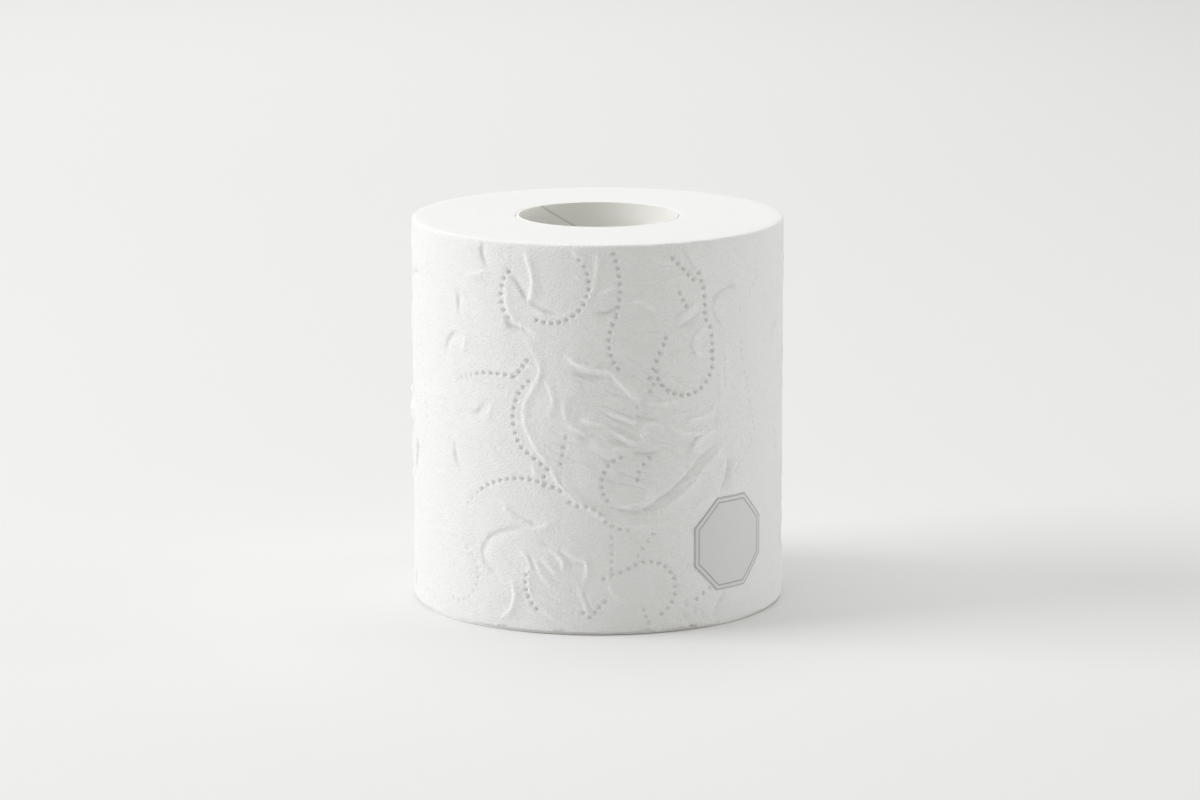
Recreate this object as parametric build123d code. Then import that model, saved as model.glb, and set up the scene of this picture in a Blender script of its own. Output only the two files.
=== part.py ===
from build123d import *
import math
import os

os.makedirs("parts", exist_ok=True)

# Wound tissue, standing on its end with the axis on Z
ROLL_RADIUS = 49.0
SHEET_WIDTH = 102.0
TAIL_STEP = 0.4

# Card core, held by the first turn
CORE_BORE_RADIUS = 20.7
CORE_WALL = 0.7
CORE_FIT = 0.1

# Turns that show on both ends
TURN_INSET = 5.5
TURN_PITCH = 8.0
TURN_HALVES = 3
TURN_WIDTH = 0.7
TURN_DEPTH = 0.4

# Embossing: dotted and plain scroll lines, repeated round the wall
REPEATS = 3
DOT_SIZE = 1.5
DOT_DEPTH = 0.55
DOT_PITCH = 2.7
LINE_WIDTH = 1.0
LINE_DEPTH = 0.45
PROUD = 0.2

# Eight-sided seal stuck on the wall
LABEL_FLATS = 24.4
LABEL_THICKNESS = 0.15
LABEL_GLUE = 0.03
LABEL_TURN = 45.0
LABEL_HEIGHT = 21.7

CORE_RADIUS = CORE_BORE_RADIUS + CORE_WALL
HOLE_RADIUS = CORE_RADIUS + CORE_FIT
REPEAT_LENGTH = 2 * math.pi * ROLL_RADIUS / REPEATS
UPRIGHT = (Align.CENTER, Align.CENTER, Align.MIN)

# Dotted arcs: centre along the wall, centre above mid height, radius, first and last angle
DOTTED_ARCS = [
    (-16.3, 37.0, 9.4, 140, 262),
    (-12.2, 40.6, 10.1, 258, 395),
    (-21.2, 39.5, 27.0, 20, -14),
    (14.5, 26.0, 11.5, 147, 212),
    (15.0, 32.0, 16.2, 44, -33),
    (23.3, 19.5, 8.3, 190, 366),
    (-9.0, 5.2, 13.3, 130, 216),
    (-19.5, -32.0, 21.5, 137, 62),
    (13.0, -39.2, 7.6, 140, -40),
]

# Plain scroll lines through points: along the wall, above mid height
SCROLL_LINES = [
    [(-17.5, 25), (-14.8, 17), (-19.3, 7), (-15, -3.5), (-9, -13.5), (0, -19.2)],
    [(-8, 22), (0, 18.6), (5.5, 15.5), (11, 9.5), (18, 9.5)],
    [(33, -2), (27, -6.2), (20, -13), (11, -18), (5, -17.5)],
    [(-21, -23), (-29.5, -26.5), (-31.8, -31), (-27.5, -37)],
]


def wall_half(angle):
    """Centre and radius of the half turn that the wall follows at an angle from the front."""
    if math.sin(angle) >= 0:
        return Vector(0, 0, 0), ROLL_RADIUS
    return Vector(0, -TAIL_STEP / 2, 0), ROLL_RADIUS - TAIL_STEP / 2


def on_wall(along, rise):
    """Point on the wall, so far along it and above mid height, and the direction out of it."""
    angle = along / ROLL_RADIUS
    centre, radius = wall_half(angle)
    out = Vector(math.sin(angle), -math.cos(angle), 0)
    return centre + out * radius + Vector(0, 0, SHEET_WIDTH / 2 + rise), out


def wound_body():
    """Two tangent half turns with the sheet's end as a step at the back."""
    back = (0, ROLL_RADIUS)
    front = (0, -ROLL_RADIUS)
    tail = (0, ROLL_RADIUS - TAIL_STEP)
    inner_x = -(ROLL_RADIUS - TAIL_STEP / 2)
    outer_half = ThreePointArc(back, (ROLL_RADIUS, 0), front)
    inner_half = ThreePointArc(front, (inner_x, -TAIL_STEP / 2), tail)
    outline = make_face([outer_half, inner_half, Line(tail, back)])
    return extrude(outline, SHEET_WIDTH) - Cylinder(HOLE_RADIUS, SHEET_WIDTH, align=UPRIGHT)


def turn_grooves():
    """Spiral of half turns pressed into both ends."""
    grow = (TURN_DEPTH + PROUD) / TURN_DEPTH
    half = TURN_WIDTH / 2 * grow
    top = SHEET_WIDTH + PROUD
    grooves = []
    for k in range(TURN_HALVES):
        radius = HOLE_RADIUS + TURN_INSET + k * TURN_PITCH / 2
        odd = k % 2
        centre_y = -odd * TURN_PITCH / 2
        side = 1 if odd else -1
        start_y = centre_y + side * radius
        profile = Plane.YZ * Polygon(
            (start_y - half, top),
            (start_y + half, top),
            (start_y, SHEET_WIDTH - TURN_DEPTH),
            align=None,
        )
        groove = revolve(profile, Axis((0, centre_y, 0), (0, 0, 1)), 180)
        grooves.append(groove)
        grooves.append(mirror(groove, Plane.XY.offset(SHEET_WIDTH / 2)))
    return grooves


def dot_places():
    """Even steps along every dotted arc."""
    for along, rise, radius, first, last in DOTTED_ARCS:
        sweep_angle = math.radians(last - first)
        steps = round(abs(sweep_angle) * radius / DOT_PITCH)
        for i in range(steps + 1):
            a = math.radians(first) + sweep_angle * i / steps
            yield along + radius * math.cos(a), rise + radius * math.sin(a)


def dot_cuts(shift):
    """Pressed dots of one repeat."""
    reach = DOT_DEPTH + PROUD
    mouth = DOT_SIZE * reach / DOT_DEPTH
    tip = Vertex(0, 0, -reach)
    cut = loft([Rectangle(mouth, mouth).face(), tip])
    cuts = []
    for along, rise in dot_places():
        point, out = on_wall(along + shift, rise)
        seat = Plane(point + out * PROUD, x_dir=Vector(0, 0, 1).cross(out), z_dir=out)
        cuts.append(seat.location * cut)
    return cuts


def line_cuts(shift):
    """Pressed scroll lines of one repeat."""
    cuts = []
    for line in SCROLL_LINES:
        points = [on_wall(along + shift, rise) for along, rise in line]
        path = Spline(*[point for point, out in points])
        start, out = points[0]
        section = Plane(start, x_dir=out, z_dir=path % 0) * Polygon(
            (-LINE_DEPTH, 0),
            (0, -LINE_WIDTH / 2),
            (PROUD, 0),
            (0, LINE_WIDTH / 2),
            align=None,
        )
        cuts.append(sweep(section, path))
    return cuts


def tissue_roll():
    cuts = turn_grooves()
    for n in range(REPEATS):
        cuts += dot_cuts(n * REPEAT_LENGTH)
        cuts += line_cuts(n * REPEAT_LENGTH)
    return wound_body() - cuts


def core_tube():
    tube = Cylinder(CORE_RADIUS, SHEET_WIDTH, align=UPRIGHT)
    tube -= Cylinder(CORE_BORE_RADIUS, SHEET_WIDTH, align=UPRIGHT)
    return tube


def seal_label():
    inner = ROLL_RADIUS + LABEL_GLUE
    shell = Cylinder(inner + LABEL_THICKNESS, SHEET_WIDTH, align=UPRIGHT)
    shell -= Cylinder(inner, SHEET_WIDTH, align=UPRIGHT)
    turn = math.radians(LABEL_TURN)
    out = Vector(math.sin(turn), -math.cos(turn), 0)
    seat = Plane((0, 0, LABEL_HEIGHT), x_dir=Vector(0, 0, 1).cross(out), z_dir=out)
    eight = RegularPolygon(LABEL_FLATS / 2, 8, major_radius=False, rotation=22.5)
    return shell & extrude(seat * eight, ROLL_RADIUS + LABEL_FLATS)


export_step(tissue_roll(), "parts/tissue_roll.step")
export_step(core_tube(), "parts/core_tube.step")
export_step(seal_label(), "parts/seal_label.step")
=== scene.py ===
import math

import bmesh
import bpy
from bpy.props import FloatProperty, FloatVectorProperty, IntProperty, PointerProperty
from mathutils import Matrix, Vector, noise
from mathutils.kdtree import KDTree


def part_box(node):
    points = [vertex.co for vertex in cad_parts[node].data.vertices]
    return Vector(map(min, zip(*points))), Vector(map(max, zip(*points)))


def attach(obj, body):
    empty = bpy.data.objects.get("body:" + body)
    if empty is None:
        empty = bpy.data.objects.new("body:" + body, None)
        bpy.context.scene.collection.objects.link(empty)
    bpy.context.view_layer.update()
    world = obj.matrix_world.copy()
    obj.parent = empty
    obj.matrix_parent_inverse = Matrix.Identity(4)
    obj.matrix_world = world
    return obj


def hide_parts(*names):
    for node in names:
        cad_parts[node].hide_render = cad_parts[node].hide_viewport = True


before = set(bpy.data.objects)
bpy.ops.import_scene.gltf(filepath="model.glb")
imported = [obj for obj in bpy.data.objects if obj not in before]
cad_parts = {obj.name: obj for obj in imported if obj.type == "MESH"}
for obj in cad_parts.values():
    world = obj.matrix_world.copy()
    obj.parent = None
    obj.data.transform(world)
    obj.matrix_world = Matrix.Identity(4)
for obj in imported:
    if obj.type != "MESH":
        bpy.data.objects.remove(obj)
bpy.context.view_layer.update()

bl_info = {
    "name": "Toilet paper roll",
    "version": (1, 0, 0),
    "blender": (4, 5, 0),
    "location": "3D View > Sidebar > Paper Roll",
    "description": "Builds an embossed toilet paper roll on its card core, with a paper seal",
    "category": "Add Mesh",
}

MM = 0.001
_, ROLL_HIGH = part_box("tissue_roll")
_, CORE_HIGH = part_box("core_tube")
SEAL_LOW, SEAL_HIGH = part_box("seal_label")
ROLL_RADIUS = ROLL_HIGH[0]
ROLL_HEIGHT = ROLL_HIGH[2]
CORE_RADIUS = CORE_HIGH[0]
SEAL_HEIGHT = SEAL_HIGH[2] - SEAL_LOW[2]
SEAL_MIDDLE = (SEAL_HIGH[2] + SEAL_LOW[2]) / 2

# The embossing is drawn on one sheet in millimetres: along the wall to the right, and up from the floor
REPEATS = 3
SHEET_LENGTH = 2 * math.pi * ROLL_RADIUS / MM / REPEATS

# Every fold is steep towards the upper left of the sheet
FOLD_FACES = Vector((-0.94, 0.34, 0))

# Wrinkles run down to the right and the crepe grain runs up to the right
WRINKLE_RUN = (0.94, -0.34)
CREPE_RUN = (0.92, 0.39)

# Middle of the part of a sheet that lies loose, and its reach to each side, in millimetres
LOOSE_MIDDLE = (8, 54)
LOOSE_REACH = (36, 42)

# Loose lower edge of the outer sheet: height and blur in millimetres, and depth in steps of the free end
HEM_HEIGHT = 0.75
HEM_BLUR = 0.2
HEM_STEPS = 1.6

# Length over which the free end eases down to the turn below, and bare margin round the seal
TAIL_EASE = 0.4 * MM
SEAL_MARGIN = 1.0 * MM

# Colour of the painted contact shadow along the wall's lowest edge, where it meets the floor
PAINTED_CONTACT_SHADOW = (0.6, 0.53, 0.44, 1)

# Softness of the card's cut edges
CARD_EDGE = 0.1 * MM

# Strips that bend the seal round the wall
SEAL_STRIPS = 24

# Rows of faces up the hole and across the ends, and how far the turns sink on the ends
HOLE_ROWS = 4
END_ROWS = 14
END_DEPTH = 0.12 * MM

# Steps along a fold, the run over which it fades at its ends, and the share left at the very end
FOLD_STEP = 0.25
FOLD_FADE = 2.5
FOLD_END = 0.25

# Dotted arcs: strength, centre along, centre up, radius, first and last angle in degrees
DOT_ARCS = [
    (1.0, -16.3, 88.0, 9.4, 140, 218),
    (1.0, -12.2, 91.6, 10.1, 250, 400),
    (1.0, -21.2, 90.5, 27.0, 20, -14),
    (1.0, 14.5, 77.0, 11.5, 147, 218),
    (1.0, 23.3, 70.5, 8.3, 190, 376),
    (1.0, -27.0, 37.0, 30.3, 81, 102),
    (0.5, -27.0, 37.0, 30.3, 106, 116),
    (1.0, -9.0, 56.2, 13.3, 132, 215),
    (1.0, -19.5, 19.0, 21.5, 125, 62),
    (0.5, -19.5, 19.0, 21.5, 143, 130),
    (1.0, 8.6, 40.0, 7.4, 110, 216),
    (1.0, 18.0, 40.2, 7.7, 125, 175),
    (1.0, -10.0, 13.0, 8.8, 165, 228),
    (0.9, 13.0, 11.8, 7.6, 130, -60),
    (0.4, -41.0, 13.5, 7.7, 60, -100),
]

# Dotted lines through points, with their strength
DOT_LINES = [
    (1.0, [(19.5, 98), (25.5, 92)]),
    (1.0, [(27, 93.6), (28.5, 89.7), (29, 86), (29.2, 82), (31, 78.5), (31.7, 73)]),
    (1.0, [(13.5, 67.5), (17.8, 77.5)]),
    (0.8, [(13.4, 67.3), (14.6, 66), (13.6, 63.8)]),
    (0.9, [(21.5, 88.8), (22.3, 87.2), (23.5, 85.3)]),
    (1.0, [(-18.3, 71.4), (-21.7, 67)]),
    (1.0, [(-20, 48.7), (-12.8, 43.4)]),
    (1.0, [(-13.8, 41.5), (-13.8, 39.2)]),
    (0.8, [(-7, 35), (-5, 34.3), (0, 33), (2, 30.5), (5, 28.5), (8, 28)]),
    (0.9, [(1.8, 15.2), (3.8, 16.2), (6, 16.8)]),
    (0.6, [(3.8, 26), (3.8, 16)]),
    (0.6, [(10.5, 21), (12.5, 24), (14.5, 26.5)]),
    (0.7, [(12, 6.7), (12.5, 5), (13.3, 3.2)]),
    (0.9, [(-3.5, 6), (-1.5, 5), (0.5, 7.5), (2, 9)]),
    (0.9, [(26.8, 8.2), (28.8, 9.4), (31, 10.5)]),
    (0.4, [(46.5, 47.5), (40, 40)]),
    (0.3, [(47.5, 94), (48, 90), (45, 86.5), (41.3, 82.5)]),
    (0.35, [(41.5, 74), (42.3, 68.5), (44.5, 62.5), (47.5, 50)]),
    (0.4, [(-43.8, 48), (-41.8, 47)]),
    (0.7, [(-8, 52), (-9.3, 45)]),
    (0.5, [(10.2, 60), (10.3, 55.5)]),
]

# Raised folds through points, with the share of the full height
RIDGES = [
    (1.0, [(-19, 100), (-17, 93), (-17.2, 89), (-18, 86.8)]),
    (0.5, [(0.1, 100), (-0.3, 95), (-1.2, 90.5), (-3.4, 87)]),
    (0.5, [(-7, 101), (-5, 99), (-3.6, 96.5)]),
    (0.5, [(-24.2, 92.5), (-24.4, 88), (-23.6, 84), (-21.2, 81)]),
    (0.6, [(-17.6, 85.6), (-14, 83.6), (-10.4, 82.8)]),
    (0.6, [(-21.2, 80.8), (-18, 79.4), (-14.8, 78)]),
    (0.8, [(8, 86.8), (10.5, 87.2), (12.8, 86.2), (14.8, 84.5)]),
    (0.4, [(0.5, 89.2), (4.2, 90.6), (8.5, 90.2)]),
    (1.5, [(-8, 73), (-5, 71), (0, 69.7), (3, 69.1), (5.2, 66.8), (8, 63.7), (10.8, 60.8)]),
    (0.9, [(11, 60.8), (15, 60.4), (22, 60.7)]),
    (0.55, [(-19, 77), (-16.4, 73), (-15, 69), (-16.4, 65.2), (-19.2, 60), (-19, 54.5), (-16.4, 49.4), (-12.6, 44.4)]),
    (0.9, [(-12.6, 44.2), (-10, 40), (-7.4, 37.2), (-3.6, 34.2), (0, 32), (3, 29.8)]),
    (0.5, [(3, 29.8), (7, 28.9), (12, 28.6), (18, 29)]),
    (0.5, [(-9.5, 40.5), (-6.5, 37.5), (-2.4, 34)]),
    (0.4, [(-17.2, 45), (-16.6, 42.8), (-16.6, 41)]),
    (0.5, [(-13.5, 66.5), (-11.8, 63), (-11.6, 60.5), (-12.8, 57.5)]),
    (0.4, [(-8.8, 62), (-8.4, 58), (-7.6, 55.5)]),
    (0.8, [(-8, 55.6), (-6, 54.3), (-2.5, 53)]),
    (1.1, [(-4, 56.4), (0, 55.8), (4, 53.6), (8, 51.4), (12, 50.4)]),
    (0.8, [(2, 58.6), (7, 57), (11, 55)]),
    (0.9, [(11.6, 50.4), (11.5, 53.6), (12.6, 55.3), (14.6, 55.5), (16.4, 54.6)]),
    (0.9, [(33, 58.6), (31, 57.2), (28, 56), (23, 55.4)]),
    (0.9, [(18, 54.6), (22, 52.6), (27, 51.8), (30, 52.4)]),
    (1.3, [(33, 51.7), (29.5, 51.4), (26.6, 49.8), (25.2, 47)]),
    (0.8, [(-1.5, 50), (3, 48.8), (7, 49.6)]),
    (0.6, [(10.5, 39.4), (12.5, 38.2), (13.2, 36.2), (11.6, 34.8), (8, 34), (4, 33.4)]),
    (0.3, [(20, 37.4), (24.5, 39.8), (30, 40.4)]),
    (0.4, [(25, 31.4), (29, 33.6), (33, 35)]),
    (0.5, [(34.6, 41), (35.6, 43.4), (36.4, 45)]),
    (0.7, [(35, 47.4), (32.4, 45), (29.2, 42.8), (26.6, 39.8), (21.8, 35.8), (17, 33)]),
    (0.7, [(38, 88.3), (34, 87), (32.3, 84.6), (33, 82), (35.6, 78.4)]),
    (0.8, [(29.5, 79.4), (27, 78), (25.7, 75.5), (26.4, 73), (28.6, 72)]),
    (0.6, [(20.4, 81.6), (23, 83.6), (27, 86)]),
    (0.5, [(22.4, 101), (24.6, 97.6), (27.4, 94.6)]),
    (0.4, [(13, 98.6), (16, 97), (19, 96.4)]),
    (0.3, [(36, 73), (36.6, 66), (35.8, 60)]),
    (0.3, [(34, 67), (34.6, 62), (34.2, 57.5)]),
    (1.0, [(-23, 13.6), (-22.2, 9.5), (-23.3, 5.8), (-26, 3.2)]),
    (0.6, [(-26.2, 34), (-24, 31.6), (-20, 29.4), (-16, 27.7), (-12, 29.6)]),
    (0.6, [(-21, 22), (-18.6, 19.6), (-17.6, 16)]),
    (0.5, [(-17, 20.4), (-15, 16.6), (-12.4, 13.4)]),
    (1.0, [(-13.6, 22.6), (-11, 21.5), (-9.2, 19.5), (-8.8, 17.2)]),
    (0.6, [(-14.6, 20.2), (-12, 17.4), (-9.8, 15.8)]),
    (0.8, [(-9, 22.5), (-6, 20.6), (-3.4, 19.6), (-2.8, 17), (-3.6, 14.2)]),
    (0.6, [(-5.2, 13.2), (-3.6, 9), (-2.6, 5.4)]),
    (0.4, [(-2.6, 11.2), (-1, 7.4)]),
    (0.5, [(-18.2, 18), (-18.5, 14), (-17.4, 10)]),
    (0.4, [(2.8, 15), (4, 11), (7.4, 8.4)]),
    (0.3, [(-15, 8), (-13, 5.4), (-10, 3.4)]),
    (0.6, [(-30, 94), (-34, 92.7), (-37, 92.2)]),
    (0.4, [(-29, 60), (-29.4, 57.6), (-31, 55.6)]),
    (0.5, [(-38.2, 76), (-38, 74), (-39.4, 71.6)]),
]

# Pressed folds through points, with the share of the full depth
GROOVES = [
    (0.7, [(-24.6, 94.4), (-23.4, 94), (-22.4, 93)]),
    (1.2, [(-22.4, 93), (-20.5, 90.4), (-18.5, 86.8)]),
    (0.8, [(-18.2, 86.7), (-14, 84.7), (-10, 83.6)]),
    (1.0, [(-24.6, 82), (-23.4, 80.4), (-21.4, 79.7), (-19.6, 79.4), (-17.6, 78.3)]),
    (0.9, [(-1, 84.6), (2, 84.5), (4, 85.4), (5.4, 86.5)]),
    (0.8, [(33.4, 49), (31, 47.4), (27.6, 45.4), (25, 42.4), (20, 38), (15, 35), (11, 32.9), (7.6, 32.8), (4, 33.8)]),
    (1.6, [(36.4, 44.4), (37.3, 42.4), (36.6, 39.4), (34.8, 35.8)]),
    (0.9, [(31, 85.4), (32, 87), (34, 88.1), (37, 88.8), (40, 89)]),
    (0.5, [(31.4, 84.6), (32, 82), (34.4, 79.4)]),
    (0.7, [(20.3, 80), (24, 81.2), (27, 83)]),
    (0.5, [(33, 58), (32.7, 55.4), (31, 53.4)]),
    (0.7, [(9.6, 57.8), (12, 57), (15.4, 56.2)]),
    (0.8, [(8, 48.3), (12, 47.7), (16.2, 48)]),
    (0.4, [(3.6, 52.6), (6, 51), (8.6, 50.4)]),
    (0.4, [(-5.4, 52.8), (-3, 52), (-0.4, 52.3)]),
    (1.0, [(-6, 69), (-2, 68.1), (2.5, 68)]),
    (0.6, [(-20, 27.6), (-25, 26.5), (-29.5, 24.3), (-32, 20.4), (-31, 17), (-27.5, 14)]),
    (0.9, [(-23.8, 32), (-20.5, 30.2), (-15.8, 28)]),
    (0.5, [(-15, 24.4), (-12.6, 22.8), (-10.4, 21.6)]),
    (0.9, [(-31.5, 101), (-31.8, 98), (-30.2, 95)]),
    (0.9, [(-40.5, 87), (-40, 81)]),
    (0.8, [(-45.4, 71), (-44.7, 73.8), (-42.7, 75.8), (-41, 76.3)]),
    (0.6, [(-35, 56), (-33, 57), (-31.4, 58.8)]),
    (0.8, [(-42, 47), (-41.8, 44), (-40, 40.5)]),
    (0.6, [(36, 9), (34, 6), (32.2, 2.6)]),
    (0.5, [(22.8, 8), (24.4, 5.6)]),
    (0.5, [(25, 6.6), (26.6, 3.4)]),
    (0.5, [(22.4, 5), (24, 2.4)]),
    (0.5, [(27.6, 5.2), (29.2, 2.4)]),
]


class RollSettings(bpy.types.PropertyGroup):
    """Sizes and colour of the wound tissue."""
    radius: FloatProperty(
        name="Radius", description="Outer radius of the roll", default=ROLL_RADIUS, unit="LENGTH")
    height: FloatProperty(
        name="Height", description="Width of the sheet", default=ROLL_HEIGHT, unit="LENGTH")
    hole: FloatProperty(
        name="Hole", description="Radius of the hole round the core", default=CORE_RADIUS + 0.1 * MM, unit="LENGTH")
    tail_step: FloatProperty(
        name="Tail Step", description="Step of the sheet's free end", default=0.4 * MM, unit="LENGTH")
    rim: FloatProperty(
        name="Rim", description="Softness of the upper rim", default=0.8 * MM, unit="LENGTH")
    foot: FloatProperty(
        name="Foot", description="Softness of the lower rim", default=0.3 * MM, unit="LENGTH")
    dot_radius: FloatProperty(
        name="Dot Radius", description="Radius of a pressed dot", default=0.68 * MM, unit="LENGTH")
    dot_depth: FloatProperty(
        name="Dot Depth", description="Depth of a pressed dot", default=0.6 * MM, unit="LENGTH")
    dot_pitch: FloatProperty(
        name="Dot Pitch", description="Distance between dots", default=2.1 * MM, unit="LENGTH")
    fold_steep: FloatProperty(
        name="Steep Side", description="Width of a fold's steep side", default=0.7 * MM, unit="LENGTH")
    fold_gentle: FloatProperty(
        name="Gentle Side", description="Width of a fold's gentle side", default=2.2 * MM, unit="LENGTH")
    ridge_height: FloatProperty(
        name="Ridge Height", description="Height of a raised fold", default=0.42 * MM, unit="LENGTH")
    groove_depth: FloatProperty(
        name="Groove Depth", description="Depth of a pressed fold", default=0.5 * MM, unit="LENGTH")
    pillow: FloatProperty(
        name="Pillow", description="Height of the soft swells between the lines", default=0.26 * MM, unit="LENGTH")
    columns: IntProperty(
        name="Columns", description="Columns of faces round the wall", default=216, min=24)
    rows: IntProperty(
        name="Rows", description="Rows of faces up the wall", default=74, min=8)
    tissue: FloatVectorProperty(
        name="Tissue", description="Colour of the tissue", subtype="COLOR", default=(0.866, 0.866, 0.86))


class CoreSettings(bpy.types.PropertyGroup):
    """Sizes and colour of the card core."""
    radius: FloatProperty(
        name="Radius", description="Outer radius of the core", default=CORE_RADIUS, unit="LENGTH")
    wall: FloatProperty(
        name="Wall", description="Thickness of the card", default=0.7 * MM, unit="LENGTH")
    seam_lead: FloatProperty(
        name="Seam Lead", description="Climb of the seam in one turn", default=78 * MM, unit="LENGTH")
    seam_start: FloatProperty(
        name="Seam Start", description="Where the seam meets the top edge", default=math.radians(136.5),
        unit="ROTATION")
    seam_width: FloatProperty(
        name="Seam Width", description="Half width of the seam", default=0.28 * MM, unit="LENGTH")
    seam_depth: FloatProperty(
        name="Seam Depth", description="Depth of the seam", default=0.22 * MM, unit="LENGTH")
    card: FloatVectorProperty(
        name="Card", description="Colour of the card", subtype="COLOR", default=(0.972, 0.967, 0.932))


class SealSettings(bpy.types.PropertyGroup):
    """Sizes and colours of the paper seal."""
    flats: FloatProperty(
        name="Across Flats", description="Distance across the flats", default=SEAL_HEIGHT, unit="LENGTH")
    middle: FloatProperty(
        name="Middle", description="Height of the seal's middle", default=SEAL_MIDDLE, unit="LENGTH")
    turn: FloatProperty(
        name="Turn", description="Angle round the wall from the front", default=math.radians(45), unit="ROTATION")
    thickness: FloatProperty(
        name="Thickness", description="Thickness of the paper", default=0.15 * MM, unit="LENGTH")
    lift: FloatProperty(
        name="Lift", description="Glue between the wall and the paper", default=0.03 * MM, unit="LENGTH")
    border: FloatProperty(
        name="Border", description="Width of the border band", default=1.3 * MM, unit="LENGTH")
    paper: FloatVectorProperty(
        name="Paper", description="Colour of the seal", subtype="COLOR", default=(0.72, 0.72, 0.725))
    ink: FloatVectorProperty(
        name="Ink", description="Colour of the border lines", subtype="COLOR", default=(0.42, 0.42, 0.42))


class StageSettings(bpy.types.PropertyGroup):
    """Camera, floor and lamps."""
    distance: FloatProperty(
        name="Distance", description="Camera in front of the axis", default=1.2512, unit="LENGTH")
    eye: FloatProperty(
        name="Eye", description="Camera above the floor", default=0.3006, unit="LENGTH")
    pitch: FloatProperty(
        name="Pitch", description="Camera's tilt below level", default=0.196, unit="ROTATION")
    lens: FloatProperty(
        name="Lens", description="Focal length in millimetres", default=144.3)
    shift: FloatProperty(
        name="Shift", description="Sideways shift of the lens", default=0.00216)
    floor: FloatVectorProperty(
        name="Floor", description="Colour of the floor", subtype="COLOR", default=(0.86, 0.86, 0.86))
    key: FloatProperty(
        name="Key", description="Power of the lamp on the left", default=27.4, unit="POWER")
    fill: FloatProperty(
        name="Fill", description="Power of the lamp on the right", default=4.3, unit="POWER")
    top: FloatProperty(
        name="Top", description="Power of the lamp overhead", default=11.5, unit="POWER")
    back: FloatProperty(
        name="Back", description="Power of the lamp over the far floor", default=1.7, unit="POWER")
    sky: FloatProperty(
        name="Sky", description="Strength of the light all round", default=0.4)


class Value:
    """A shader socket that takes Python arithmetic."""

    def __init__(self, shader, socket):
        self.shader = shader
        self.socket = socket

    def __add__(self, other):
        return self.shader.math("ADD", self, other)

    def __radd__(self, other):
        return self.shader.math("ADD", other, self)

    def __sub__(self, other):
        return self.shader.math("SUBTRACT", self, other)

    def __rsub__(self, other):
        return self.shader.math("SUBTRACT", other, self)

    def __mul__(self, other):
        return self.shader.math("MULTIPLY", self, other)

    def __rmul__(self, other):
        return self.shader.math("MULTIPLY", other, self)

    def __truediv__(self, other):
        return self.shader.math("DIVIDE", self, other)

    def __rtruediv__(self, other):
        return self.shader.math("DIVIDE", other, self)

    def __abs__(self):
        return self.shader.math("ABSOLUTE", self)


class Shader:
    """A material whose nodes are written as expressions."""

    def __init__(self, name):
        self.material = bpy.data.materials.new(name)
        self.material.use_nodes = True
        self.tree = self.material.node_tree
        self.tree.nodes.clear()

    def node(self, kind, settings=None, inputs=None, output=0):
        made = self.tree.nodes.new(kind)
        for key, value in (settings or {}).items():
            setattr(made, key, value)
        for key, value in (inputs or {}).items():
            if isinstance(value, Value):
                self.tree.links.new(value.socket, made.inputs[key])
            else:
                made.inputs[key].default_value = value
        return Value(self, made.outputs[output]) if made.outputs else None

    def math(self, operation, first, second=0.0):
        return self.node("ShaderNodeMath", {"operation": operation}, {0: first, 1: second})

    def turned(self, along, up, run):
        """Place on the sheet, measured along a slanting run and across it."""
        return self.node("ShaderNodeCombineXYZ", {}, {"X": along * run[0] + up * run[1],
                                                      "Y": up * run[0] - along * run[1]})

    def place(self, output="Object"):
        return self.node("ShaderNodeTexCoord", output=output)

    def painted(self, name):
        """A value stored on the mesh."""
        return self.node("ShaderNodeAttribute", {"attribute_name": name}, output=2)

    def split(self, vector):
        return [self.node("ShaderNodeSeparateXYZ", {}, {0: vector}, output=axis) for axis in range(3)]

    def grain(self, vector, scale, detail=2.0, stretch=(1, 1, 1)):
        placed = self.node("ShaderNodeMapping", {}, {"Vector": vector, "Scale": stretch})
        return self.node("ShaderNodeTexNoise", {}, {"Vector": placed, "Scale": scale, "Detail": detail})

    def smooth(self, value, low, high):
        """Nought below low, one above high."""
        return self.node("ShaderNodeMapRange", {"interpolation_type": "SMOOTHSTEP"},
                         {"Value": value, "From Min": low, "From Max": high})

    def blend(self, factor, first, second):
        return self.node("ShaderNodeMix", {"data_type": "RGBA"}, {0: factor, 6: first, 7: second}, output=2)

    def bump(self, height, distance, strength=1.0):
        return self.node("ShaderNodeBump", {}, {"Height": height, "Distance": distance, "Strength": strength})

    def surface(self, inputs):
        shaded = self.node("ShaderNodeBsdfPrincipled", {}, inputs)
        self.node("ShaderNodeOutputMaterial", {}, {"Surface": shaded})
        return self.material


def shade(colour, share):
    return (colour[0] * share, colour[1] * share, colour[2] * share, 1.0)


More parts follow.
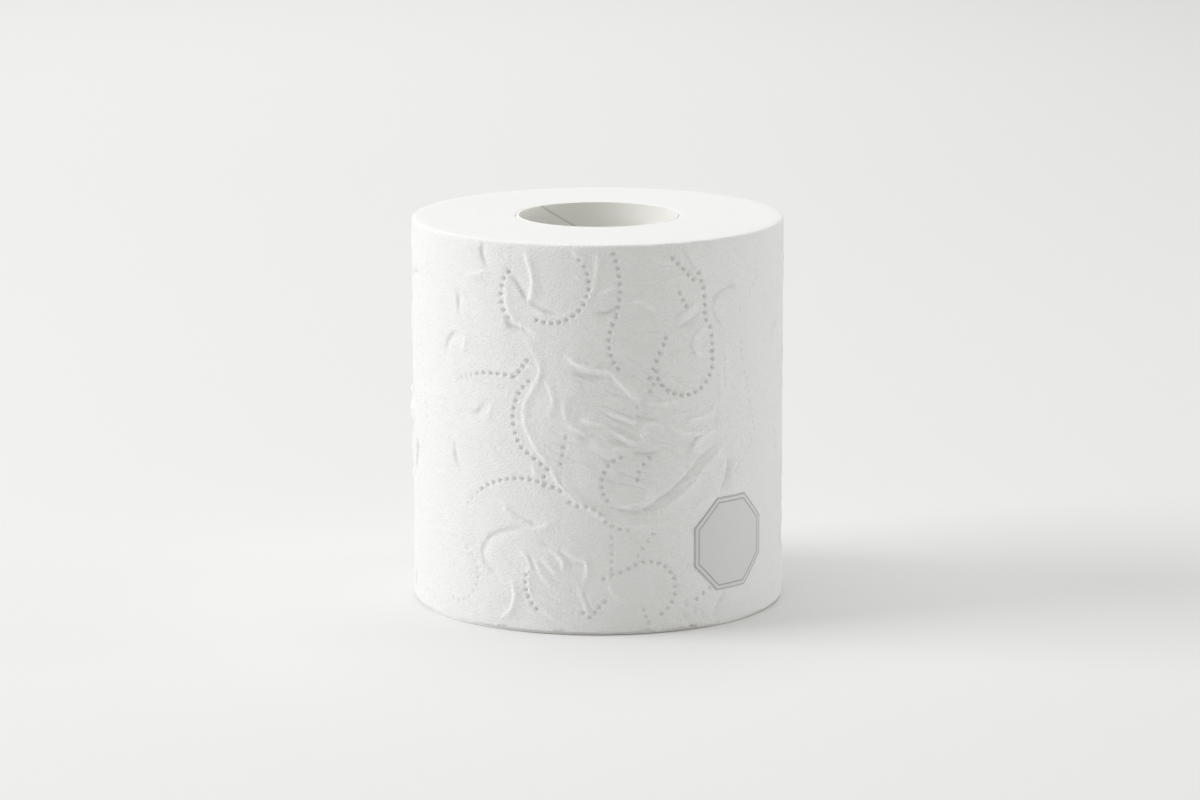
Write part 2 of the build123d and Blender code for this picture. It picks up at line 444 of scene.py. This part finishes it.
def tissue_finish(roll):
    """Soft white tissue: crepe grain, wrinkles, faint mottling, and the edges of the turns on both ends, with painted
    highlights and painted shade on the embossing, lighter ends and a painted contact shadow at the foot.
    """
    shader = Shader("tissue")
    place = shader.place()
    x, y, z = shader.split(place)
    along = shader.math("ARCTAN2", x, y * -1) * roll.radius
    press_and_painted_light, loose = shader.painted("press_and_painted_light"), shader.painted("loose")
    crepe = shader.grain(shader.turned(along, z, CREPE_RUN), 1900, 1.0, (0.6, 1.15, 1)) - 0.5
    fibre = shader.grain(place, 520, 2.0) - 0.5
    mottle = shader.grain(place, 90, 2.0)
    crease = abs(shader.grain(place, 190, 3.0, (1, 1, 1.9)) - 0.5)
    # Painted highlight along the crests of the creases
    painted_crest_highlight = (1 - shader.smooth(crease, 0.0, 0.03)) * shader.smooth(mottle, 0.45, 0.65)
    fold = abs(shader.grain(shader.turned(along, z, WRINKLE_RUN), 230, 1.0, (0.3, 1, 1)) - 0.5)
    wrinkle = (1 - shader.smooth(fold, 0.0, 0.14)) * loose

    half = roll.height / 2
    on_end = shader.smooth(abs(z - half), half - 0.5 * MM, half - 0.2 * MM)
    flat = shader.node("ShaderNodeCombineXYZ", {}, {"X": x, "Y": y})
    out = shader.node("ShaderNodeVectorMath", {"operation": "LENGTH"}, {0: flat}, output=1)
    turn_pitch = 0.55 * MM
    turn = shader.math("SINE", (out / turn_pitch) * (2 * math.pi) + shader.math("ARCTAN2", y, x))

    wall_height = crepe * 0.21 + fibre * 0.12 - crease * (loose * 0.5 + 0.1) + wrinkle * 0.3
    end_height = turn * 0.015 + fibre * 0.08
    normal = shader.bump(wall_height * (1 - on_end) + end_height * on_end, MM)

    colour = shader.blend(crepe * 2.2 + 0.5, shade(roll.tissue, 0.98), shade(roll.tissue, 1.015))
    colour = shader.blend(mottle * 0.3, colour, shade(roll.tissue, 0.97))
    # Painted highlight on the crease crests
    colour = shader.blend(painted_crest_highlight * 0.5, colour, shade(roll.tissue, 1.05))
    # Painted shade in the dots, pressed folds and under the hem; in the dots partly the greyer pressed tissue
    colour = shader.blend(press_and_painted_light * -1, colour, shade(roll.tissue, 0.88))
    # Painted highlight on the raised folds
    colour = shader.blend(press_and_painted_light, colour, shade(roll.tissue, 1.09))
    # Painted light: both ends are a little lighter than the wall, which brightens the top face
    colour = shader.blend(on_end * 0.8, colour, shade(roll.tissue, 1.09))
    # Painted contact shadow along the foot, faded out on the left where the key lamp reaches it
    painted_contact_shadow = shader.smooth(z, 0.35 * MM, 0.05 * MM) * shader.smooth(x, -0.8 * roll.radius, -0.3 * roll.radius)
    colour = shader.blend(painted_contact_shadow, colour, PAINTED_CONTACT_SHADOW)
    return shader.surface({"Base Color": colour, "Roughness": 0.86 - fibre * 0.08, "Normal": normal,
                           "Specular IOR Level": 0.15, "Sheen Weight": 0.1})


def card_finish(core):
    """Pale card: upright fibres, fine specks and a dark seam."""
    shader = Shader("card")
    place = shader.place()
    fibre = shader.grain(place, 700, 3.0, (1, 1, 0.25))
    speck = shader.grain(place, 2400, 1.0)
    colour = shader.blend(fibre, shade(core.card, 0.98), shade(core.card, 1.01))
    colour = shader.blend(shader.painted("press_and_painted_light"), colour, shade(core.card, 0.7))
    normal = shader.bump(fibre * 0.5 + speck * 0.5, 0.06 * MM, 0.5)
    return shader.surface({"Base Color": colour, "Roughness": 0.8 + speck * 0.1, "Normal": normal,
                           "Specular IOR Level": 0.25})


def seal_finish(seal):
    """Satin paper with a double border line that follows its eight sides."""
    shader = Shader("seal")
    flat = shader.place("UV")
    across, up, _ = shader.split(flat)
    across, up = abs(across), abs(up)
    corner = (across + up) * math.sqrt(0.5)
    side = shader.math("MAXIMUM", shader.math("MAXIMUM", across, up), corner)
    edge = seal.flats / 2 / MM
    rim = shader.smooth(side, edge - 0.45, edge - 0.3)
    line_at = edge - seal.border / MM
    line = 1 - shader.smooth(abs(side - line_at), 0.1, 0.26)
    ink = shader.math("MAXIMUM", rim * 0.75, line)
    fibre = shader.grain(shader.place(), 900, 2.0)
    paper = shader.blend(fibre, shade(seal.paper, 0.97), shade(seal.paper, 1.02))
    colour = shader.blend(ink, paper, shade(seal.ink, 1.0))
    normal = shader.bump(fibre - line, 0.05 * MM, 0.4)
    return shader.surface({"Base Color": colour, "Roughness": 0.5 + fibre * 0.1, "Normal": normal,
                           "Specular IOR Level": 0.35})


def floor_finish(stage):
    """Plain pale floor."""
    shader = Shader("floor")
    grain = shader.grain(shader.place(), 3.0, 1.0)
    colour = shader.blend(grain, shade(stage.floor, 0.995), shade(stage.floor, 1.0))
    return shader.surface({"Base Color": colour, "Roughness": 0.85, "Specular IOR Level": 0.1})


def arc_steps(along, up, radius, first, last, step):
    """Even steps along an arc on the sheet."""
    start, sweep = math.radians(first), math.radians(last - first)
    count = max(1, round(abs(sweep) * radius / step))
    angles = [start + sweep * i / count for i in range(count + 1)]
    return [Vector((along + radius * math.cos(a), up + radius * math.sin(a))) for a in angles]


def smooth_line(points, pieces=24):
    """Dense points on a smooth line through the given ones."""
    ends = [Vector(p) for p in points]
    ends = [ends[0] * 2 - ends[1]] + ends + [ends[-1] * 2 - ends[-2]]
    line = []
    for before, start, end, after in zip(ends, ends[1:], ends[2:], ends[3:]):
        for i in range(pieces):
            t = i / pieces
            lean_in, lean_out = (end - before) / 2, (after - start) / 2
            line.append(start * (2 * t**3 - 3 * t**2 + 1) + lean_in * (t**3 - 2 * t**2 + t)
                        + end * (3 * t**2 - 2 * t**3) + lean_out * (t**3 - t**2))
    return line + [ends[-2]]


def line_steps(points, step):
    """Even steps along a smooth line through points on the sheet."""
    line = smooth_line(points)
    total = sum((b - a).length for a, b in zip(line, line[1:]))
    count = max(1, round(total / step))
    steps, run = [line[0]], 0.0
    for a, b in zip(line, line[1:]):
        run += (b - a).length
        if run >= total / count * len(steps) - 1e-6:
            steps.append(b)
    return steps


class Marks:
    """Places on the sheet with a strength each, found again from any place near them."""

    def __init__(self):
        self.places = []

    def add(self, place, strength=1.0):
        along = (place[0] + SHEET_LENGTH / 2) % SHEET_LENGTH - SHEET_LENGTH / 2
        for shift in (-SHEET_LENGTH, 0.0, SHEET_LENGTH):
            if abs(along + shift) < SHEET_LENGTH / 2 + 4:
                self.places.append((Vector((along + shift, place[1], 0)), strength))

    def close(self):
        self.tree = KDTree(len(self.places))
        for i, (place, _) in enumerate(self.places):
            self.tree.insert(place, i)
        self.tree.balance()
        return self

    def near(self, place):
        """Distance to the nearest mark and its strength."""
        _, index, distance = self.tree.find(place)
        return distance, self.places[index][1]

    def fold(self, place, steep, gentle):
        """Height of the nearest fold, steep on its upper left and gentle on the other side."""
        mark, index, distance = self.tree.find(place)
        lean = (place - mark).normalized().dot(FOLD_FACES)
        width = gentle + (steep - gentle) * min(1.0, max(0.0, 0.5 + lean))
        return self.places[index][1] * swell(distance / width)


def dot_marks(pitch):
    marks = Marks()
    for strength, *arc in DOT_ARCS:
        for place in arc_steps(*arc, pitch):
            marks.add(place, strength)
    for strength, points in DOT_LINES:
        for place in line_steps(points, pitch):
            marks.add(place, strength)
    return marks.close()


def fold_marks(folds):
    """Folds vary along their length and fade out towards both ends."""
    marks = Marks()
    for strength, points in folds:
        steps = line_steps(points, FOLD_STEP)
        for i, place in enumerate(steps):
            from_end = min(i, len(steps) - 1 - i) * FOLD_STEP
            vary = 0.95 + 0.5 * noise.noise(Vector((place[0] * 0.21, place[1] * 0.21, 5.7)))
            marks.add(place, strength ** 0.7 * vary * min(1.0, FOLD_END + from_end / FOLD_FADE))
    return marks.close()


def swell(share):
    """A soft round profile, one in the middle and nought from one on."""
    return (1 - share * share) ** 2 if share < 1 else 0.0


def dish(share):
    """A round hollow with a crisp edge and a low raised ring about it."""
    return 1 - share * share if share < 1 else -0.15 * swell(abs(share - 1.3) / 0.3)


def waver(along, seed):
    """A soft wave along the wall, from minus one to one."""
    return noise.noise(Vector((along, 0, seed)))


def roll_in(share):
    """Eases from nought to one."""
    share = min(1.0, max(0.0, share))
    return share * share * (3 - 2 * share)


def turn_of(co):
    """Angle of a point round the axis, from the front."""
    return math.atan2(co.x, -co.y)


class Sheet:
    """The embossed sheet as it lies round the wall."""

    def __init__(self, roll, seal):
        self.roll = roll
        self.seal = seal
        self.dots = dot_marks(roll.dot_pitch / MM)
        self.ridges = fold_marks(RIDGES)
        self.grooves = fold_marks(GROOVES)

    def along(self, co):
        """Distance round the wall from the front in millimetres."""
        return turn_of(co) * self.roll.radius / MM

    def place(self, co):
        """Where a point of the wall lies on the sheet."""
        wrapped = (self.along(co) + SHEET_LENGTH / 2) % SHEET_LENGTH - SHEET_LENGTH / 2
        return Vector((wrapped, co.z / MM, 0))

    def fine(self, co, reach_dots, reach_folds):
        """Whether a mark is near enough to need smaller faces."""
        place = self.place(co)
        if self.dots.near(place)[0] < reach_dots or self.tail(co) < reach_dots:
            return True
        return min(self.ridges.near(place)[0], self.grooves.near(place)[0]) < reach_folds

    def tail(self, co):
        """Distance from the sheet's free end in millimetres."""
        return abs(math.atan2(co.x, co.y)) * self.roll.radius / MM

    def wall(self, co):
        """Radius of the wound wall, which steps in past the free end."""
        roll = self.roll
        angle = turn_of(co)
        if angle >= 0:
            return roll.radius
        inner = roll.radius - roll.tail_step / 2 * (1 - math.cos(angle))
        past = (math.pi + angle) * roll.radius
        cover = max(0.0, 1 - past / TAIL_EASE)
        return inner + (roll.radius - inner) * cover

    def bare(self, co):
        """Nought under the seal, one away from it."""
        seal = self.seal
        across = abs(turn_of(co) - seal.turn) * self.roll.radius
        up = abs(co.z - seal.middle)
        side = max(across, up, (across + up) * math.sqrt(0.5))
        return 1 - min(1.0, max(0.0, (seal.flats / 2 + SEAL_MARGIN - side) / SEAL_MARGIN))

    def relief(self, co):
        """How far the embossing stands out of the wall, in metres."""
        roll = self.roll
        place = self.place(co)
        steep, gentle = roll.fold_steep / MM, roll.fold_gentle / MM
        distance, strength = self.dots.near(place)
        dot = strength * dish(distance * MM / roll.dot_radius)
        ridge, groove = self.ridges.fold(place, steep, gentle), self.grooves.fold(place, steep, gentle)
        swells = 0.6 * noise.noise(co * 75) + 0.35 * noise.noise(co * 180) + self.wrinkle(co)
        return self.bare(co) * (roll.ridge_height * ridge - roll.groove_depth * groove - roll.dot_depth * dot
                                + roll.pillow * swells)

    def wrinkle(self, co):
        """Long shallow wrinkles where the sheet lies loose."""
        along, up = self.along(co), co.z / MM
        run = along * WRINKLE_RUN[0] + up * WRINKLE_RUN[1]
        across = up * WRINKLE_RUN[0] - along * WRINKLE_RUN[1]
        crease = abs(noise.noise(Vector((run * 0.07, across * 0.26, 3.1))))
        return (0.35 - crease) * 2.8 * self.loose(co)

    def loose(self, co):
        """Share by which the outer sheet lies loose, most in the middle of each repeat."""
        place = self.place(co)
        middle = swell(math.hypot((place.x - LOOSE_MIDDLE[0]) / LOOSE_REACH[0],
                                  (place.y - LOOSE_MIDDLE[1]) / LOOSE_REACH[1]))
        patch = roll_in(0.5 + 1.2 * noise.noise(co * 40))
        return max(middle, 0.4 * patch)

    def hem(self, co):
        """Share by which the wall draws in under the loose lower edge of the outer sheet."""
        along = self.along(co)
        long_wave, short_wave = waver(along * 0.12, 7.3), waver(along * 0.6, 2.1)
        edge = HEM_HEIGHT + 0.3 * long_wave + 0.15 * short_wave
        lifted = 0.5 + 0.5 * waver(along * 0.045 + 0.6, 4.7)
        below = min(1.0, max(0.0, (edge - co.z / MM) / HEM_BLUR + 0.5))
        return roll_in(lifted * 1.3) * below

    def from_rim(self, co):
        """Height to the nearer end of the roll."""
        return min(co.z, self.roll.height - co.z)

    def fade(self, co):
        """Fades the embossing out towards both rims."""
        return min(1.0, self.from_rim(co) / (2 * self.roll.rim))

    def tint(self, co):
        """Painted highlight on the raised folds and painted shade in the dots, pressed folds and under the loose hem,
        from one down to minus one; in the dots part of the dark is the greyer pressed tissue.
        """
        roll = self.roll
        place = self.place(co)
        fine = roll.fold_steep / MM
        distance, strength = self.dots.near(place)
        dot = strength * swell(distance * MM / roll.dot_radius)
        light, dark = self.ridges.fold(place, fine, fine), self.grooves.fold(place, fine, 1.4 * fine)
        return (light - max(dot, dark)) * self.bare(co) * self.fade(co) - 0.8 * self.hem(co)

    def reach(self, co):
        """Radius of the embossed wall at a point of the plain one."""
        roll = self.roll
        out = co.xy.length
        chord = roll.radius - out if self.from_rim(co) > roll.rim else 0.0
        plain = out + chord + self.wall(co) - roll.radius
        return plain + self.relief(co) * self.fade(co) - self.hem(co) * HEM_STEPS * roll.tail_step


def spun_ring(inner, outer, height, rims, rows, inner_rows, end_rows, columns):
    """Closed ring from four corners, softened in turn from the lower outer to the upper inner one, and spun."""
    mesh = bmesh.new()
    corners = [mesh.verts.new((0, r, z)) for r, z in ((inner, 0), (outer, 0), (outer, height), (inner, height))]
    for a, b in zip(corners, corners[1:] + corners[:1]):
        mesh.edges.new((a, b))
    for corner, rim in zip(corners[1:], rims):
        bmesh.ops.bevel(mesh, geom=[corner], offset=rim, segments=3, profile=0.5, affect="VERTICES", material=-1)
    rim = max(rims)

    def long_edges(test):
        return [e for e in mesh.edges if e.calc_length() > 4 * rim and test((e.verts[0].co + e.verts[1].co) / 2)]

    wall = long_edges(lambda co: co.y > outer - rim and rim < co.z < height - rim)
    hole = long_edges(lambda co: co.y < inner + rim and rim < co.z < height - rim)
    ends = [e for e in mesh.edges if abs(e.verts[0].co.z - e.verts[1].co.z) < 1e-7]
    for edges, count in ((wall, rows), (hole, inner_rows), (ends, end_rows)):
        if count > 1:
            bmesh.ops.subdivide_edges(mesh, edges=edges, cuts=count - 1)
    bmesh.ops.spin(mesh, geom=mesh.verts[:] + mesh.edges[:], cent=(0, 0, 0), axis=(0, 0, 1),
                   angle=2 * math.pi, steps=columns, use_merge=True)
    bmesh.ops.remove_doubles(mesh, verts=mesh.verts[:], dist=1e-6)
    bmesh.ops.recalc_face_normals(mesh, faces=mesh.faces[:])
    return mesh


def refine(mesh, wanted):
    """Halve the edges that the test wants finer."""
    edges = [e for e in mesh.edges if wanted((e.verts[0].co + e.verts[1].co) / 2)]
    bmesh.ops.subdivide_edges(mesh, edges=edges, cuts=1, use_grid_fill=True)


def finished_piece(mesh, name, node, material):
    """Turn a bmesh into a smooth piece that stands for a node."""
    data = bpy.data.meshes.new(name)
    mesh.to_mesh(data)
    mesh.free()
    data.shade_smooth()
    data.set_sharp_from_angle(angle=math.radians(50))
    data.materials.append(material)
    piece = bpy.data.objects.new(name, data)
    bpy.context.scene.collection.objects.link(piece)
    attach(piece, "root")
    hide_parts(node)
    return piece


class ROLL_OT_tissue(bpy.types.Operator):
    """Wind the embossed tissue"""
    bl_idname = "paper_roll.tissue"
    bl_label = "Tissue Roll"

    def execute(self, context):
        roll, seal = context.scene.roll_settings, context.scene.seal_settings
        sheet = Sheet(roll, seal)
        mesh = spun_ring(roll.hole, roll.radius, roll.height, (roll.foot, roll.rim, roll.foot),
                         roll.rows, HOLE_ROWS, END_ROWS, roll.columns)
        near_wall = roll.radius - 1.2 * roll.rim

        def on_wall(co):
            return co.xy.length > near_wall and sheet.from_rim(co) > roll.rim * 0.5

        def near_floor(co, height):
            return co.xy.length > near_wall and co.z < height

        refine(mesh, lambda co: on_wall(co) and sheet.fine(co, 2.0, 1.9))
        refine(mesh, lambda co: on_wall(co) and sheet.fine(co, 1.1, 1.0))
        refine(mesh, lambda co: near_floor(co, 1.8 * MM))
        refine(mesh, lambda co: near_floor(co, 1.2 * MM))
        press_and_painted_light, loose = mesh.verts.layers.float.new("press_and_painted_light"), mesh.verts.layers.float.new("loose")
        for vert in mesh.verts:
            out = vert.co.xy.length
            if out > near_wall:
                vert[loose] = sheet.loose(vert.co) * sheet.bare(vert.co)
                # Painted highlight and painted shade of the embossing, for the tissue's colour
                vert[press_and_painted_light] = sheet.tint(vert.co)
                vert.co.xy *= sheet.reach(vert.co) / out
                if vert.co.z > roll.height - 1.5 * roll.rim:
                    vert.co.z -= roll.foot * (0.5 + 0.5 * noise.noise(vert.co * 330))
            elif out > roll.hole + 0.5 * MM:
                side = 1 if vert.co.z > roll.height / 2 else -1
                turns = noise.noise(Vector((out * 420, math.atan2(vert.co.y, vert.co.x) * 0.8, side)))
                vert.co.z -= side * END_DEPTH * (0.5 + 0.5 * turns)
        finished_piece(mesh, "tissue_wound", "tissue_roll", tissue_finish(roll))
        return {"FINISHED"}


class ROLL_OT_core(bpy.types.Operator):
    """Make the card core with its helical seam"""
    bl_idname = "paper_roll.core"
    bl_label = "Card Core"

    def execute(self, context):
        core, roll = context.scene.core_settings, context.scene.roll_settings
        bore = core.radius - core.wall
        mesh = spun_ring(bore, core.radius, roll.height, (CARD_EDGE, CARD_EDGE), rows=6, inner_rows=56, end_rows=2,
                         columns=120)

        def from_seam(co):
            angle = math.atan2(co.y, co.x)
            turned = core.seam_start - (roll.height - co.z) / core.seam_lead * 2 * math.pi
            apart = (angle - turned + math.pi) % (2 * math.pi) - math.pi
            slope = core.seam_lead / math.hypot(core.seam_lead, 2 * math.pi * bore)
            return abs(apart) * bore * slope

        def in_bore(co):
            return co.xy.length < bore + 0.3 * core.wall

        for reach in (2.2 * MM, 1.2 * MM, 0.7 * MM):
            refine(mesh, lambda co: in_bore(co) and from_seam(co) < reach)
        # On the card this attribute holds only the pressed seam, a dark joint
        press_and_painted_light = mesh.verts.layers.float.new("press_and_painted_light")
        for vert in mesh.verts:
            if in_bore(vert.co):
                out = vert.co.xy.length
                vert[press_and_painted_light] = swell(from_seam(vert.co) / core.seam_width)
                vert.co.xy *= (bore + core.seam_depth * vert[press_and_painted_light]) / out
        finished_piece(mesh, "card_core", "core_tube", card_finish(core))
        return {"FINISHED"}


class ROLL_OT_seal(bpy.types.Operator):
    """Stick the paper seal on the wall"""
    bl_idname = "paper_roll.seal"
    bl_label = "Paper Seal"

    def execute(self, context):
        seal, roll = context.scene.seal_settings, context.scene.roll_settings
        mesh = bmesh.new()
        corner = seal.flats / 2 / math.cos(math.pi / 8)
        bmesh.ops.create_circle(mesh, cap_ends=True, segments=8, radius=corner)
        bmesh.ops.rotate(mesh, verts=mesh.verts[:], cent=(0, 0, 0), matrix=Matrix.Rotation(math.pi / 8, 3, "Z"))
        bmesh.ops.inset_region(mesh, faces=mesh.faces[:], thickness=seal.border, depth=0.0)
        for i in range(1, SEAL_STRIPS):
            cut = (i - SEAL_STRIPS / 2) * seal.flats / SEAL_STRIPS
            bmesh.ops.bisect_plane(mesh, geom=mesh.verts[:] + mesh.edges[:] + mesh.faces[:],
                                   plane_co=(cut, 0, 0), plane_no=(1, 0, 0))
        bmesh.ops.recalc_face_normals(mesh, faces=mesh.faces[:])
        grown = bmesh.ops.extrude_face_region(mesh, geom=mesh.faces[:])
        top = [v for v in grown["geom"] if isinstance(v, bmesh.types.BMVert)]
        bmesh.ops.translate(mesh, verts=top, vec=(0, 0, seal.thickness))
        flat = mesh.loops.layers.uv.new("flat")
        for face in mesh.faces:
            for loop in face.loops:
                loop[flat].uv = (loop.vert.co.x / MM, loop.vert.co.y / MM)
        for vert in mesh.verts:
            across, up, out = vert.co
            angle = seal.turn + across / roll.radius
            reach = roll.radius + seal.lift + out
            vert.co = (reach * math.sin(angle), -reach * math.cos(angle), seal.middle + up)
        bmesh.ops.recalc_face_normals(mesh, faces=mesh.faces[:])
        finished_piece(mesh, "paper_seal", "seal_label", seal_finish(seal))
        return {"FINISHED"}


class ROLL_OT_stage(bpy.types.Operator):
    """Set the floor, the lamps and the camera"""
    bl_idname = "paper_roll.stage"
    bl_label = "Stage"

    def execute(self, context):
        stage, scene = context.scene.stage_settings, context.scene
        mesh = bmesh.new()
        bmesh.ops.create_grid(mesh, x_segments=2, y_segments=2, size=6.0)
        data = bpy.data.meshes.new("floor")
        mesh.to_mesh(data)
        mesh.free()
        data.materials.append(floor_finish(stage))
        floor = bpy.data.objects.new("floor", data)
        scene.collection.objects.link(floor)

        roll_middle, far_floor = (0, 0, ROLL_HEIGHT / 2), (-0.2, 1.5, 0)
        self.lamp("key", (-1.95, -0.15, 1.03), roll_middle, 1.35, stage.key)
        self.lamp("fill", (1.4, 0.2, 0.14), roll_middle, 0.24, stage.fill)
        self.lamp("top", (-0.08, 0.15, 1.6), roll_middle, 1.6, stage.top)
        self.lamp("back", (-0.2, 1.7, 1.3), far_floor, 1.2, stage.back, spread=75)

        world = bpy.data.worlds.new("studio")
        world.use_nodes = True
        world.node_tree.nodes["Background"].inputs["Color"].default_value = (1, 0.993, 0.945, 1)
        world.node_tree.nodes["Background"].inputs["Strength"].default_value = stage.sky
        scene.world = world

        camera = bpy.data.objects.new("camera", bpy.data.cameras.new("camera"))
        camera.location = (0, -stage.distance, stage.eye)
        camera.rotation_euler = (math.pi / 2 - stage.pitch, 0, 0)
        camera.data.lens = stage.lens
        camera.data.sensor_width = 36
        camera.data.shift_x = stage.shift
        scene.collection.objects.link(camera)
        scene.camera = camera
        scene.view_settings.view_transform = "Standard"
        return {"FINISHED"}

    def lamp(self, name, place, target, size, power, spread=180):
        light = bpy.data.lights.new(name, "AREA")
        light.shape = "SQUARE"
        light.size = size
        light.spread = math.radians(spread)
        light.energy = power
        light.color = (0.985, 0.99, 1)
        lamp = bpy.data.objects.new(name, light)
        lamp.location = place
        aim = Vector(target) - Vector(place)
        lamp.rotation_euler = aim.to_track_quat("-Z", "Y").to_euler()
        bpy.context.scene.collection.objects.link(lamp)


class VIEW3D_PT_paper_roll(bpy.types.Panel):
    """The roll's pieces"""
    bl_label = "Paper Roll"
    bl_space_type = "VIEW_3D"
    bl_region_type = "UI"
    bl_category = "Paper Roll"

    def draw(self, context):
        for operator in OPERATORS:
            self.layout.operator(operator.bl_idname)


GROUPS = {
    "roll_settings": RollSettings,
    "core_settings": CoreSettings,
    "seal_settings": SealSettings,
    "stage_settings": StageSettings,
}
OPERATORS = (ROLL_OT_tissue, ROLL_OT_core, ROLL_OT_seal, ROLL_OT_stage)


def register():
    for name, group in GROUPS.items():
        bpy.utils.register_class(group)
        setattr(bpy.types.Scene, name, PointerProperty(type=group))
    for operator in OPERATORS:
        bpy.utils.register_class(operator)
    bpy.utils.register_class(VIEW3D_PT_paper_roll)


def unregister():
    bpy.utils.unregister_class(VIEW3D_PT_paper_roll)
    for operator in reversed(OPERATORS):
        bpy.utils.unregister_class(operator)
    for name, group in GROUPS.items():
        delattr(bpy.types.Scene, name)
        bpy.utils.unregister_class(group)


def main():
    register()
    bpy.ops.paper_roll.tissue()
    bpy.ops.paper_roll.core()
    bpy.ops.paper_roll.seal()
    bpy.ops.paper_roll.stage()


if __name__ == "__main__":
    main()
